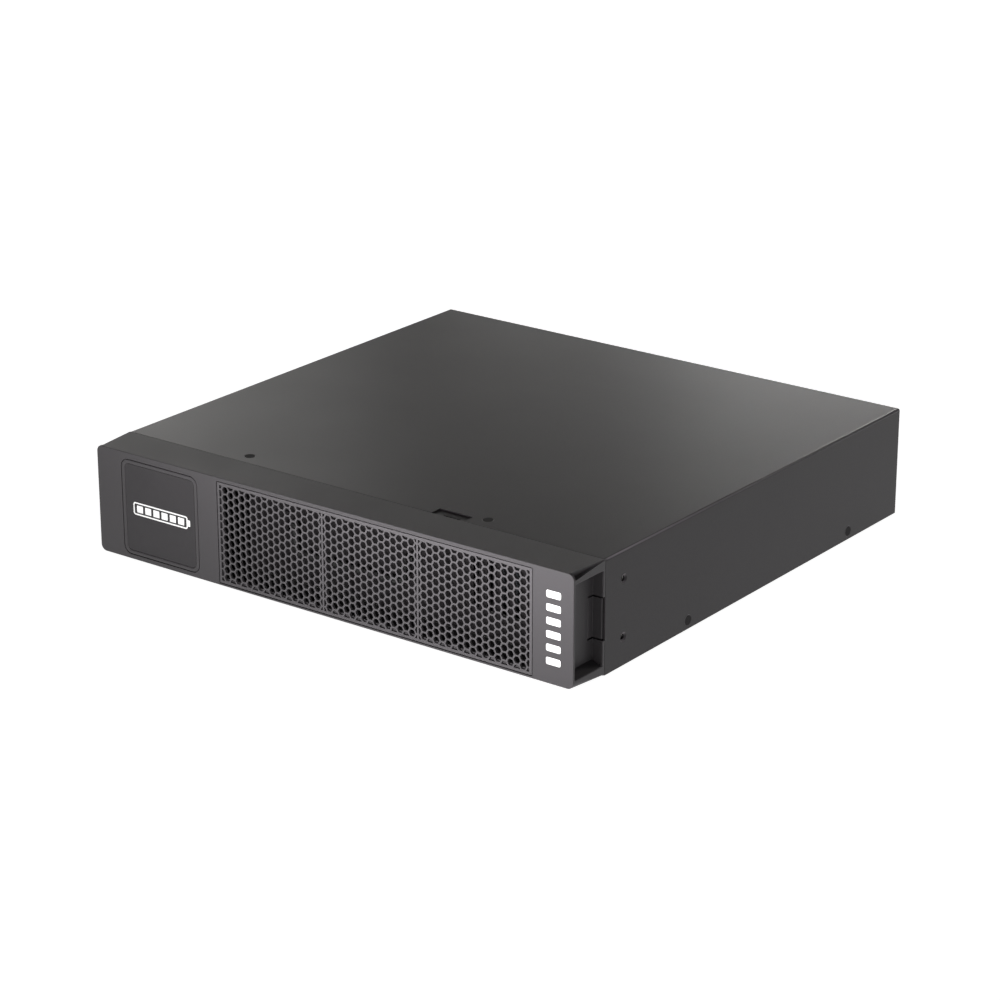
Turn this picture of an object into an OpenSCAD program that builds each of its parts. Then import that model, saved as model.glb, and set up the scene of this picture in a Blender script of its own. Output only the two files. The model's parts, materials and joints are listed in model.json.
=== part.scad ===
// External battery cabinet for a rack or tower uninterruptible power supply.
// Two rack units high: a folded steel cabinet, a sliding tray of eight sealed
// lead-acid blocks and a clip-on plastic bezel with a honeycomb grille.
// +Z is up, +X is to the right seen from the front and +Y runs to the back.
// The origin is the middle of the footprint, on the surface it stands on.

/* [Cabinet] */
// Width across the steel cover
cabinet_w = 438; // [436:0.5:440]
// Height of the steel cabinet, two rack units less clearance
cabinet_h = 86; // [85.5:0.25:87]
// Depth of the steel cover behind the bezel
cabinet_d = 394; // [394:1:410]
// Thickness of the folded steel sheet
sheet = 1.2; // [1:0.1:1.2]
// Distance between the two rack ear screws on each side
ear_pitch = 43.3; // [40:0.1:46]

/* [Bezel] */
// Depth of the plastic bezel in front of the cabinet
bezel_d = 36.5; // [36:0.5:38]
// Radius of the corners of the bezel's face
face_r = 5; // [3:0.5:6]
// Depth of the finger pocket in each end
pocket_d = 9; // [8:0.5:9]
// Side of the square badge
badge_side = 74.6; // [70:0.2:75]

/* [Grille] */
// Distance between neighbouring cells in a column
row_pitch = 6.2; // [6.1:0.05:6.2]
// Width of a cell across its flats
cell_flats = 4.8; // [4:0.1:5]
// Whole columns on each side of the middle column
side_cols = 25; // [23:1:25]
// Columns from the middle column to each dividing bar
bar_cols = 8; // [6:1:10]

/* [Batteries] */
// Length of one sealed lead-acid block
block_l = 151; // [148:1:151]
// Width of one block, which stands vertical here
block_w = 65; // [62:1:65]
// Height of one block over its lid, which points sideways here
block_h = 94; // [92:1:94]

/* [Tray] */
// How far the tray's handle reaches from its pivot to the middle of its grip
handle_drop = 20; // [18:0.5:20]
// Length of the handle's grip
handle_w = 100; // [80:2:110]

/* [Hidden] */
$fn = 64;

// Finishes
charcoal_paint = [0.24, 0.23, 0.24];
charcoal_plastic = [0.36, 0.35, 0.36];
dark_plastic = [0.13, 0.12, 0.13];
black_paint = [0.1, 0.1, 0.1];
zinc = [0.72, 0.72, 0.7];
block_grey = [0.3, 0.31, 0.33];

// Gap that keeps two moving pieces apart
gap = 0.3;
// Clearance in the radius of a pin that turns in a hole
turning_fit = 0.06;

// Outline of the steel cabinet, measured from the seam, which is the plane
// where the bezel meets the steel
half_w = cabinet_w / 2;
inner_x = half_w - sheet;
roof_z = cabinet_h - sheet;
mid_z = 43.25;
panel_y = [cabinet_d - 2 * sheet, cabinet_d - sheet];
hem_y = [panel_y[1], cabinet_d + 1];
hem_h = 7;
pan_flange_h = 14;
bend_r = 1.8;

// Hardware on the cover
top_screw_at = [110, 12.3];
side_screw_y = [103, 322.6];
side_screw_z = 7;
ear_y = 22;
screw_head_r = 4.3;
screw_r = 2;
ear_bore_r = 2;
ear_hole_r = 3.6;
seat_h = sheet - 0.2;
small_screw_r = 1.5;
notch_x = [69.5, 98.5];
notch_d = 10.5;
slot_x = [78, 93];

// Opening in the front frame, which the tray slides through
bay_x = 205.5;
bay_z = [2.6, 76];

// Bezel
bezel_y = [-bezel_d, -gap];
face_t = 3;
face_y = [-bezel_d, face_t - bezel_d];
face_half_w = half_w - 0.5;
face_z = [1.9, cabinet_h];
bezel_wall = 2.2;
bezel_foot_z = 1.1;
corner_notch = [4.8, 0.3];
corner_notch_y = [2 - bezel_d, 0];
pocket_x = half_w - pocket_d;
pocket_wall = 1.6;
room_x = pocket_x - pocket_wall;
room_z = [bezel_foot_z + bezel_wall, cabinet_h - bezel_wall];
pocket_z = [8, 78.3];
pocket_draft = 3.4;
pocket_y = [-34.3, -2.2];
tab_z = [26.5, 59];
tab_gap = 1.2;
tab_root_y = -8;
tab_bead_r = 0.8;
hook_z = [37, 49];
tongue_x = [80, 91];
tongue_z = [81.2, 82.8];

// Grille: one honeycomb, split by two bars, with half cells at its borders
grille_at = [42.2, 43.2];
col_pitch = row_pitch * sin(60);
cell_r = cell_flats / 2 / cos(30);
window_w = 2 * (side_cols + 1) * col_pitch;
window_h = 12 * row_pitch;
border = 2.1;
insert_gap = 0.9;
insert_y = [0.2 - bezel_d, 2.2 - bezel_d];
bar_w = 1.5;
ledge_in = 1.4;
ledge_y = [insert_y[1], insert_y[1] + 3];

// Badge
badge_at = [-156.75, mid_z];
badge_r = 6.5;
badge_gap = 0.8;
badge_t = 1.5;
badge_seat = 1.8;
badge_rim = 3;
label_side = badge_side - 2 * badge_rim;
label_y = [0.4 - bezel_d, 1 - bezel_d];
inlay = 0.2;
clip_at = 28;

// Mark on the right of the face: a plain column of bars
mark_x = 202;
mark_bars = 6;
mark_bar = [12, 5.2];
mark_pitch = 9.8;

// Tray and the blocks on it
tray_x = 203.5;
tray_z = 3;
tray_wall_top = 71.9;
tray_y = [-0.2, 342.5];
front_y = [-1.4, -0.2];
front_x = 206.6;
front_z = [4.6, 83.2];
tray_screw_at = [150, 79.8];
tray_floor_z = tray_z + sheet;
pad_t = 1.2;
block_z = tray_floor_z + pad_t;
block_rows_y = [26, 28 + block_l];
block_outer_x = tray_x - sheet - gap;
lid_t = 6;
case_wall = 2.6;
cells_in_block = 6;
cell_divider = 1.4;
cell_w = (block_l - 2 * case_wall) / cells_in_block - cell_divider;
cell_y = [for (i = [0 : cells_in_block - 1])
    block_l / 2 + (i - (cells_in_block - 1) / 2) * (cell_w + cell_divider)];
tab_y = [12, block_l - 12];
tab_lift = 10;
tab_size = [7, 6.35, 0.8];
boot = [7, 10, 7];
bar_y = [[90, 120], [250, 280]];
bar_leg_z = 60;
channel_y = 334.5;
link_r = 2;
// Distance of a lead in the terminal lane from the base of its block
link_x = block_h + 4;

// Handle
pivot = [-7, 50];
rod_r = 2.4;
pin_r = 2;
handle_leg_x = handle_w / 2;
handle_bend = 6;
ear_x = [handle_leg_x + 4, handle_leg_x + 7];

// Docking connector, where the tray plugs into the cabinet
dock_at = [-150, 32];
dock_nose = [36, 16];
dock_nose_y = [tray_y[1] - sheet, 354];
dock_shell_y = [345, 368];
dock_socket_end = 356;
dock_pin_x = 8;
dock_pin_r = 2.6;

// Rear panel
stud_end_y = cabinet_d + 5;
socket_at = [[-70, mid_z], [-5, mid_z]];
socket_nose = [36, 17];
socket_y = [350, 397];
socket_room = [31, 12];
socket_room_y = 381;
blade_x = 8;
blade = [2, 8];
blade_y = [344, 391];
socket_screw_x = 22.5;
socket_flange_t = 2.4;
rear_screw_x = [-190, 0, 190];
rear_screw_z = 80.5;
hem_screw_z = hem_h / 2 + 0.4;
breaker_at = [70, 43];
breaker_size = [40, 50];
breaker_y = [358, panel_y[1]];
toggle_y = 386.5;
toggle_reach = 10;
toggle_tilt = 17;
terminal_dx = 8;
terminal_dz = 13;
terminal_r = 2.5;
jack_x = 120;
board_x = [104, 150];
board_y = [345, 390.5];
board_z = [34, 35.6];
jack_z = [35.6, 49.6];
stud_at = [170, 22];
lead_r = 2.8;

// The seam lies behind the middle of the whole length
seam_y = (bezel_d - stud_end_y) / 2;

// ---- helpers ----

// Puts the origin of a part on the seam
module at_seam() {
    translate([0, seam_y, 0]) children();
}

// A box given by its two ends along each axis
module slab(x, y, z) {
    translate([x[0], y[0], z[0]]) cube([x[1] - x[0], y[1] - y[0], z[1] - z[0]]);
}

// Thickens a drawing in X and Z into a wall between two Y values
module wall(y) {
    translate([0, y[1], 0]) rotate([90, 0, 0]) linear_extrude(y[1] - y[0]) children();
}

// Round bars along each axis
module rod_x(x, y, z, r) {
    translate([x[0], y, z]) rotate([0, 90, 0]) cylinder(h = x[1] - x[0], r = r);
}

module rod_y(x, y, z, r) {
    translate([x, y[0], z]) rotate([-90, 0, 0]) cylinder(h = y[1] - y[0], r = r);
}

module rod_z(x, y, z, r) {
    translate([x, y, z[0]]) cylinder(h = z[1] - z[0], r = r);
}

// A rectangle with round corners about its middle
module soft_rect(w, h, r) {
    square([w, h - 2 * r], center = true);
    square([w - 2 * r, h], center = true);
    for (sx = [-1, 1], sz = [-1, 1])
        translate([sx * (w / 2 - r), sz * (h / 2 - r)]) circle(r = r);
}

// The part and its mirror image across the middle of the cabinet
module pair() {
    children();
    mirror([1, 0, 0]) children();
}

// A lead of round wire through the points of a route
module lead(route, r) {
    for (i = [0 : len(route) - 2]) {
        step = route[i + 1] - route[i];
        translate(route[i])
            rotate([0, acos(step[2] / norm(step)), atan2(step[1], step[0])])
            cylinder(h = norm(step), r = r);
    }
    for (i = [1 : len(route) - 2]) translate(route[i]) sphere(r = r);
}

// A countersunk screw that points down -Z, its head flush with the origin
module countersunk_screw(head_r, head_h, shank_r, length) {
    translate([0, 0, -head_h]) cylinder(h = head_h, r1 = shank_r, r2 = head_r);
    translate([0, 0, -length]) cylinder(h = length - head_h + 0.01, r = shank_r);
}

// A pan-head screw that points down -Z, its head on the origin
module pan_screw(head_r, head_h, shank_r, length) {
    difference() {
        cylinder(h = head_h, r = head_r);
        translate([0, 0, head_h / 2]) cylinder(h = head_h, r = head_r * 0.45, $fn = 6);
    }
    translate([0, 0, -length]) cylinder(h = length + 0.01, r = shank_r);
}

// Turns a screw that points down -Z to point along -Y, in from the back
module from_back(x, y, z) {
    translate([x, y, z]) rotate([-90, 0, 0]) children();
}

// Turns a screw that points down -Z to point along +Y, in from the front
module from_front(x, y, z) {
    translate([x, y, z]) rotate([90, 0, 0]) children();
}

// Turns a screw that points down -Z to point along -X, in from the right
module from_right(x, y, z) {
    translate([x, y, z]) rotate([0, 90, 0]) children();
}

// ---- steel cabinet ----

module base_pan() at_seam() color(charcoal_paint) {
    difference() {
        union() {
            slab([-inner_x, inner_x], [0, hem_y[1]], [0, sheet]);
            slab([2 - inner_x, inner_x - 2], hem_y, [0, hem_h]);
            pair() slab([inner_x - sheet, inner_x], [2, 390], [0, pan_flange_h]);
        }
        for (y = side_screw_y)
            rod_x([-half_w, half_w], y, side_screw_z, screw_r);
        pair() rod_y(rear_screw_x[2], [hem_y[0] - 1, hem_y[1] + 1], hem_screw_z,
            small_screw_r);
    }
}

// Cross-section of the cover: an upside-down U with bent corners
module cover_section() {
    foot = 0.4;
    difference() {
        intersection() {
            soft_rect(cabinet_w, 2 * cabinet_h, bend_r);
            translate([-half_w, foot]) square([cabinet_w, cabinet_h]);
        }
        soft_rect(2 * inner_x, 2 * roof_z, bend_r - sheet);
    }
}

module top_cover() at_seam() color(charcoal_paint) {
    rear_flange_z = [76.5, roof_z + 0.1];
    difference() {
        union() {
            wall([0, cabinet_d]) cover_section();
            slab([2 - inner_x, inner_x - 2], [hem_y[0], hem_y[0] + sheet], rear_flange_z);
        }
        slab(notch_x, [-1, notch_d], [roof_z - 1, cabinet_h + 1]);
        pair() translate([top_screw_at[0], top_screw_at[1], cabinet_h])
            screw_seat(screw_head_r, screw_r);
        pair() for (y = side_screw_y)
            from_right(half_w, y, side_screw_z) screw_seat(screw_head_r, screw_r);
        pair() for (s = [-1, 1])
            from_right(half_w, ear_y, mid_z + s * ear_pitch / 2)
                screw_seat(ear_hole_r, ear_bore_r);
        for (x = rear_screw_x)
            rod_y(x, [cabinet_d - 2, cabinet_d + 1], rear_screw_z, small_screw_r);
    }
}

// The hole that a countersunk screw sits in, through one sheet
module screw_seat(head_r, shank_r) {
    through = 2 * sheet;
    translate([0, 0, -seat_h]) cylinder(h = seat_h, r1 = shank_r, r2 = head_r);
    translate([0, 0, -through]) cylinder(h = through, r = shank_r);
}

module front_frame() at_seam() color(charcoal_paint) {
    frame_top = roof_z;
    flange_z = [pan_flange_h + 0.2, frame_top - 1];
    difference() {
        union() {
            slab([-inner_x, inner_x], [0, sheet], [sheet, frame_top]);
            slab([1 - inner_x, inner_x - 1], [0, 20], [frame_top - sheet, frame_top]);
            pair() slab([inner_x - sheet, inner_x], [0, 34], flange_z);
        }
        slab([-bay_x, bay_x], [-1, 2], bay_z);
        slab(slot_x, [-1, 2], [80.4, frame_top - sheet]);
        slab(slot_x, [sheet, 3.2], [frame_top - 2, frame_top + 1]);
        pair() slab([room_x + 0.2, room_x + 7], [-1, 2], [tab_z[0] + 7, tab_z[1] - 7]);
        pair() rod_z(top_screw_at[0], top_screw_at[1], [80, cabinet_h], screw_r);
        pair() rod_y(tray_screw_at[0], [-1, 2], tray_screw_at[1], screw_r + 0.2);
        for (s = [-1, 1])
            rod_x([-half_w, half_w], ear_y, mid_z + s * ear_pitch / 2, ear_bore_r);
    }
}

module rear_panel() at_seam() color(charcoal_paint) {
    vent_pitch = 8;
    vents = 12;
    panel_z = [sheet + 0.1, roof_z - 0.1];
    difference() {
        slab([0.4 - inner_x, inner_x - 0.4], panel_y, panel_z);
        wall([panel_y[0] - 1, panel_y[1] + 1]) {
            for (i = [0 : vents - 1])
                translate([i * vent_pitch - 204, mid_z]) soft_rect(4, 46, 1.9);
            for (at = socket_at)
                translate(at) square(socket_nose + [0.4, 0.4], center = true);
            translate(breaker_at) square(breaker_size + [0.4, 0.4], center = true);
            translate([jack_x, (jack_z[0] + jack_z[1]) / 2])
                square([16.6, jack_z[1] - jack_z[0] + 0.6], center = true);
            translate(stud_at) circle(r = 2.5);
            pair() translate([rear_screw_x[2], hem_screw_z]) circle(r = small_screw_r);
            for (x = rear_screw_x) translate([x, rear_screw_z]) circle(r = small_screw_r);
            for (at = socket_at, s = [-1, 1])
                translate([at[0] + s * socket_screw_x, at[1]]) circle(r = small_screw_r);
        }
    }
}

// A guide rail on each side of the tray, with the stop that the tray meets
module guide_rails() at_seam() color(zinc) {
    inside_x = tray_x + 0.9;
    rail_h = 30;
    rail_end = tray_y[1] + 2.5;
    pair() {
        slab([inside_x, inside_x + 1], [4, rail_end], [sheet, rail_h]);
        slab([inside_x, inner_x - 2], [4, rail_end], [sheet, sheet + 1]);
        slab([inside_x - 8, inside_x], [rail_end - 1.6, rail_end], [sheet, rail_h]);
    }
}

module glide_strips() at_seam() color([0.9, 0.9, 0.86]) {
    pair() slab([tray_x - 8, tray_x - 1], [10, 330], [sheet, tray_z - gap]);
}

module cover_screws() at_seam() color(dark_plastic) {
    sink = 0.15;
    head_r = screw_head_r - sink * (screw_head_r - screw_r) / seat_h;
    pair() translate([top_screw_at[0], top_screw_at[1], cabinet_h - sink])
        countersunk_screw(head_r, seat_h - sink, screw_r, 7);
    pair() for (y = side_screw_y)
        from_right(half_w - sink, y, side_screw_z)
            countersunk_screw(head_r, seat_h - sink, screw_r, 6);
}

// Pan-head screws of the rear panel and of its two sockets
module rear_screws() at_seam() color(dark_plastic) {
    for (x = rear_screw_x)
        from_back(x, cabinet_d, rear_screw_z) rear_screw();
    pair() from_back(rear_screw_x[2], hem_y[1], hem_screw_z) rear_screw();
    for (at = socket_at, s = [-1, 1])
        from_back(at[0] + s * socket_screw_x, panel_y[1] + socket_flange_t, at[1])
            rear_screw();
}

module rear_screw() {
    pan_screw(2.8, 1.8, small_screw_r, 6.5);
}

// Press nuts behind the rack ear holes
module ear_nuts() at_seam() color(zinc) {
    nut_r = 4.2;
    nut_t = 3;
    x1 = inner_x - sheet;
    pair() for (s = [-1, 1]) difference() {
        rod_x([x1 - nut_t, x1], ear_y, mid_z + s * ear_pitch / 2, nut_r);
        rod_x([x1 - nut_t - 1, x1 + 1], ear_y, mid_z + s * ear_pitch / 2, ear_bore_r);
    }
}

// ---- rear hardware ----

// A two-pole battery socket: a shrouded nose through the panel, and its flange
module dc_socket(at) {
    flange = [54, 24];
    translate([at[0], 0, at[1]]) difference() {
        union() {
            wall(socket_y) square(socket_nose, center = true);
            wall([panel_y[1], panel_y[1] + socket_flange_t])
                soft_rect(flange[0], flange[1], 3);
        }
        wall([socket_room_y, socket_y[1] + 1]) square(socket_room, center = true);
        for (s = [-1, 1]) {
            translate([s * blade_x, 0]) wall([socket_y[0] - 1, socket_room_y + 1])
                square(blade, center = true);
            rod_y(s * socket_screw_x, [panel_y[1] - 1, panel_y[1] + 3], 0, small_screw_r);
        }
    }
}

module dc_socket_left() at_seam() color(dark_plastic) dc_socket(socket_at[0]);

module dc_socket_right() at_seam() color(dark_plastic) dc_socket(socket_at[1]);

module socket_contacts() at_seam() color(zinc) {
    for (at = socket_at, s = [-1, 1])
        translate([at[0] + s * blade_x, 0, at[1]]) wall(blade_y) square(blade, center = true);
}

module breaker_body() at_seam() color(dark_plastic) {
    flange = [46, 56];
    window = [9, 13.4];
    translate([breaker_at[0], 0, breaker_at[1]]) {
        difference() {
            union() {
                wall(breaker_y) square(breaker_size, center = true);
                wall([panel_y[1], panel_y[1] + 2]) soft_rect(flange[0], flange[1], 2);
            }
            wall([toggle_y, panel_y[1] + 3]) square(window, center = true);
            rod_x([-window[0] / 2, window[0] / 2], toggle_y, 0, 5.2);
            rod_x([-8, 8], toggle_y, 0, 1.5);
        }
        for (sx = [-1, 1], sz = [-1, 1])
            rod_y(sx * terminal_dx, [breaker_y[0] - 7, breaker_y[0]], sz * terminal_dz,
                terminal_r);
    }
}

module breaker_pin() at_seam() color(zinc) {
    rod_x([breaker_at[0] - 8, breaker_at[0] + 8], toggle_y, breaker_at[1], 1.5);
}

// The toggle leans up when the breaker is on
module breaker_toggle() at_seam() color([0.85, 0.85, 0.83]) {
    width = 8;
    half_t = 2.4;
    translate([breaker_at[0], toggle_y, breaker_at[1]]) rotate([toggle_tilt, 0, 0])
    difference() {
        union() {
            rod_x([-width / 2, width / 2], 0, 0, 4.6);
            slab([-width / 2, width / 2], [0, toggle_reach], [-half_t, half_t]);
            rod_x([-width / 2, width / 2], toggle_reach, 0, half_t);
        }
        rod_x([-width, width], 0, 0, 1.5 + turning_fit);
    }
}

module signal_jack() at_seam() color(dark_plastic) {
    difference() {
        slab([jack_x - 8, jack_x + 8], [376, 394], jack_z);
        slab([jack_x - 6, jack_x + 6], [381, 395], [jack_z[0] + 2.4, jack_z[1] - 2.6]);
        slab([jack_x - 3.2, jack_x + 3.2], [381, 395], [jack_z[0] + 1, jack_z[1] - 4]);
    }
}

module sense_board() at_seam() color([0.08, 0.3, 0.16]) {
    difference() {
        slab(board_x, board_y, board_z);
        board_corners() cylinder(h = 10, r = 1.5, center = true);
    }
}

// Places a piece at the four corners of the sense board, on its top
module board_corners() {
    inset = 4;
    for (x = [board_x[0] + inset, board_x[1] - inset])
        for (y = [board_y[0] + inset, board_y[1] - inset])
            translate([x, y, board_z[1]]) children();
}

module board_parts() at_seam() color([0.15, 0.3, 0.6]) {
    slab([112, 131], [357, 372], [board_z[1], 50]);
    slab([136, 146], [356, 376], [board_z[1], 44]);
    slab([112, 122], [347, 353], [board_z[1], 43]);
}

// Snap-in posts: a hexagonal foot on the pan, a neck and a head over the board
module board_standoffs() at_seam() color([0.9, 0.9, 0.86]) {
    foot_h = board_z[0] - sheet;
    board_corners() {
        translate([0, 0, sheet - board_z[1]]) cylinder(h = foot_h, r = 3.2, $fn = 6);
        translate([0, 0, board_z[0] - board_z[1]]) cylinder(h = 2, r = 1.5);
        cylinder(h = 1.6, r = 2.3);
    }
}

module ground_stud() at_seam() color([0.8, 0.7, 0.35]) {
    rod_y(stud_at[0], [384, stud_end_y], stud_at[1], 2.5);
}

module ground_nut() at_seam() color([0.8, 0.7, 0.35]) {
    washer_t = 1;
    nut_t = 3;
    difference() {
        union() {
            rod_y(stud_at[0], [panel_y[1], panel_y[1] + washer_t], stud_at[1], 5.5);
            translate([stud_at[0], panel_y[1] + washer_t, stud_at[1]])
                rotate([-90, 0, 0]) cylinder(h = nut_t, r = 4.6, $fn = 6);
        }
        rod_y(stud_at[0], [380, 400], stud_at[1], 2.5);
    }
}

// ---- docking connector ----

module dock_receptacle() at_seam() color(dark_plastic) {
    shell = dock_nose + [6, 6];
    room = dock_nose + [1.2, 1.2];
    translate([dock_at[0], 0, dock_at[1]]) difference() {
        wall(dock_shell_y) square(shell, center = true);
        wall([dock_shell_y[0] - 1, dock_socket_end]) square(room, center = true);
        for (s = [-1, 1])
            rod_y(s * dock_pin_x, [dock_socket_end - 1, dock_shell_y[1] + 1], 0, dock_pin_r);
    }
}

module dock_pins() at_seam() color([0.8, 0.7, 0.35]) {
    for (s = [-1, 1])
        rod_y(dock_at[0] + s * dock_pin_x, [347, dock_shell_y[1]], dock_at[1], dock_pin_r);
}

module dock_bracket() at_seam() color(zinc) {
    x = [dock_at[0] - 28, dock_at[0] + 28];
    back_y = dock_shell_y[1] + sheet;
    difference() {
        union() {
            slab(x, [dock_shell_y[1], back_y], [sheet, 46]);
            slab(x, [348, back_y], [sheet, 2 * sheet]);
        }
        for (s = [-1, 1])
            rod_y(dock_at[0] + s * dock_pin_x, [back_y - 3, back_y + 1], dock_at[1], 3.4);
    }
}

// Nose of the plug, which follows the tray into the receptacle
module dock_plug() at_seam() color(dark_plastic) {
    flange = [44, 24];
    translate([dock_at[0], 0, dock_at[1]]) difference() {
        union() {
            wall(dock_nose_y) square(dock_nose, center = true);
            wall([dock_nose_y[0] - 2.7, dock_nose_y[0]]) square(flange, center = true);
        }
        for (s = [-1, 1])
            rod_y(s * dock_pin_x, [345, dock_nose_y[1] + 1], 0, dock_pin_r + 0.5);
    }
}

// ---- leads inside the cabinet ----

// From the receptacle over to the breaker, and on to the two sockets
module cabinet_lead_positive() at_seam() color([0.75, 0.1, 0.08]) {
    x0 = dock_at[0] - dock_pin_x;
    x1 = breaker_at[0] + terminal_dx;
    low_z = breaker_at[1] - terminal_dz - terminal_r;
    high_z = breaker_at[1] + terminal_dz + terminal_r;
    blade_z = socket_at[0][1] - blade[1] / 2;
    lead([[x0, 368, dock_at[1]], [x0, 375, dock_at[1]], [x0, 375, 73],
        [x1, 375, 73], [x1, 353, 73], [x1, 353, high_z]], lead_r);
    lead([[x1, 353, low_z], [x1, 353, 21], [x1, 347, 21],
        [socket_at[0][0] + blade_x, 347, 21]], lead_r);
    for (at = socket_at)
        lead([[at[0] + blade_x, 347, 21], [at[0] + blade_x, 347, blade_z]], lead_r);
}

module cabinet_lead_negative() at_seam() color([0.08, 0.08, 0.08]) {
    x0 = dock_at[0] + dock_pin_x;
    x1 = breaker_at[0] - terminal_dx;
    low_z = breaker_at[1] - terminal_dz;
    high_z = breaker_at[1] + terminal_dz + terminal_r;
    blade_z = socket_at[0][1] + blade[1] / 2;
    lead([[x0, 368, dock_at[1]], [x0, 375, dock_at[1]], [x0, 375, 64.5],
        [38, 375, 64.5], [38, 353, 64.5], [x1, 353, 64.5], [x1, 353, high_z]], lead_r);
    lead([[x1 - terminal_r, 353, low_z], [44, 353, low_z], [44, 353, 56.5], [44, 347, 56.5],
        [socket_at[0][0] - blade_x, 347, 56.5]], lead_r);
    for (at = socket_at)
        lead([[at[0] - blade_x, 347, 56.5], [at[0] - blade_x, 347, blade_z]], lead_r);
}

module sense_lead() at_seam() color([0.85, 0.85, 0.8]) {
    lead([[112, 350, 39.5], [98, 350, 39.5], [98, 350, 56], [81, 354, 56]], 1.3);
}

// ---- battery tray ----

module tray_pan() at_seam() color(zinc) {
    inside_x = tray_x - sheet;
    difference() {
        union() {
            slab([-tray_x, tray_x], tray_y, [tray_z, tray_floor_z]);
            slab([-tray_x, tray_x], [tray_y[0], tray_y[0] + sheet], [tray_z, 24]);
            slab([-tray_x, tray_x], [tray_y[1] - sheet, tray_y[1]], [tray_z, 62]);
            pair() slab([inside_x, tray_x], tray_y, [tray_z, tray_wall_top]);
        }
        translate([dock_at[0], 0, dock_at[1]]) wall([tray_y[1] - 2, tray_y[1] + 1])
            square(dock_nose, center = true);
    }
}

module tray_front() at_seam() color(black_paint) {
    difference() {
        slab([-front_x, front_x], front_y, front_z);
        slab(slot_x, [front_y[0] - 1, front_y[1] + 1], [tongue_z[0] - 0.7, front_z[1] + 1]);
        pair() rod_y(tray_screw_at[0], [front_y[0] - 1, front_y[1] + 1],
            tray_screw_at[1], screw_r);
        wall([front_y[0] - 1, front_y[1] + 1])
            pair() for (i = [0 : 5]) translate([110 + i * 12, mid_z]) soft_rect(5, 40, 2.4);
    }
}

// Captive screws that hold the tray in the front frame
module tray_screws() at_seam() color(black_paint) {
    pair() from_front(tray_screw_at[0], front_y[0], tray_screw_at[1])
        pan_screw(3.6, 2.4, 1.8, 7);
}

module handle_brackets() at_seam() color(black_paint) {
    foot_t = 1.4;
    ear_tip_y = pivot[0] - 4;
    pair() difference() {
        union() {
            slab([ear_x[0], ear_x[1] + 10], [front_y[0] - foot_t, front_y[0]],
                [pivot[1] - 8, pivot[1] + 8]);
            slab(ear_x, [pivot[0], front_y[0]], [pivot[1] - 4, pivot[1] + 4]);
            rod_x(ear_x, pivot[0], pivot[1], pivot[0] - ear_tip_y);
        }
        rod_x([ear_x[0] - 1, ear_x[1] + 1], pivot[0], pivot[1], pin_r + turning_fit);
    }
}

// A bail whose two ends turn out into the brackets
module tray_handle() at_seam() color(dark_plastic) {
    corner_x = handle_leg_x - handle_bend;
    grip_z = pivot[1] - handle_drop;
    translate([0, pivot[0], 0]) {
        rod_x([-corner_x, corner_x], 0, grip_z, rod_r);
        pair() {
            translate([corner_x, 0, grip_z + handle_bend]) rotate([90, 0, 0])
                rotate([0, 0, -90]) rotate_extrude(angle = 90)
                translate([handle_bend, 0]) circle(r = rod_r);
            rod_z(handle_leg_x, 0, [grip_z + handle_bend, pivot[1]], rod_r);
            translate([handle_leg_x, 0, pivot[1]]) sphere(r = rod_r);
            rod_x([handle_leg_x, ear_x[0] - gap], 0, pivot[1], rod_r);
            rod_x([handle_leg_x, ear_x[1] + 1.5], 0, pivot[1], pin_r);
        }
    }
}

module foam_pads() at_seam() color([0.2, 0.2, 0.2]) {
    x = block_outer_x;
    for (y = bar_y) {
        slab([-x, x], y, [tray_floor_z, block_z]);
        slab([-x, x], y, [block_z + block_w, tray_wall_top]);
    }
}

module hold_down_bars() at_seam() color(zinc) {
    for (y = bar_y) {
        slab([-tray_x - sheet, tray_x + sheet], y, [tray_wall_top, tray_wall_top + sheet]);
        pair() slab([tray_x, tray_x + sheet], y, [bar_leg_z, tray_wall_top + sheet]);
    }
}

// Puts a block's own frame in the tray: X runs from its base to its lid, and
// neighbours face each other across a lane for their terminals
module in_block(n) {
    col = n % 4;
    row = floor(n / 4);
    faces_right = col % 2 == 0;
    x = [-block_outer_x, -0.2, 0.2, block_outer_x][col];
    translate([x, block_rows_y[row], block_z + block_w / 2])
        mirror([faces_right ? 0 : 1, 0, 0]) mirror([0, 0, faces_right ? 0 : 1])
        translate([0, 0, -block_w / 2]) children();
}

// A block's case and lid, with a sealed room for each of its cells
module battery(n) at_seam() color(block_grey) in_block(n) {
    lid_in = 0.8;
    difference() {
        union() {
            slab([0, block_h - lid_t], [0, block_l], [0, block_w]);
            slab([block_h - lid_t, block_h], [lid_in, block_l - lid_in],
                [lid_in, block_w - lid_in]);
        }
        for (y = cell_y)
            slab([case_wall, block_h - lid_t - case_wall], [y - cell_w / 2, y + cell_w / 2],
                [case_wall, block_w - case_wall]);
    }
}

// Lead plates with their separators, one stack in each cell
module battery_elements() at_seam() color([0.35, 0.36, 0.38]) {
    slack = 1.6;
    stack_h = 53;
    stack_in = case_wall + 6;
    for (n = [0 : 7]) in_block(n) for (y = cell_y)
        slab([case_wall + 2, case_wall + 2 + stack_h],
            [y - (cell_w - slack) / 2, y + (cell_w - slack) / 2],
            [stack_in, block_w - stack_in]);
}

module battery_terminals() at_seam() color([0.78, 0.76, 0.7]) {
    for (n = [0 : 7]) in_block(n) for (y = tab_y)
        slab([block_h, block_h + tab_size[0]], [y - tab_size[1] / 2, y + tab_size[1] / 2],
            [tab_lift - tab_size[2] / 2, tab_lift + tab_size[2] / 2]);
}

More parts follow.
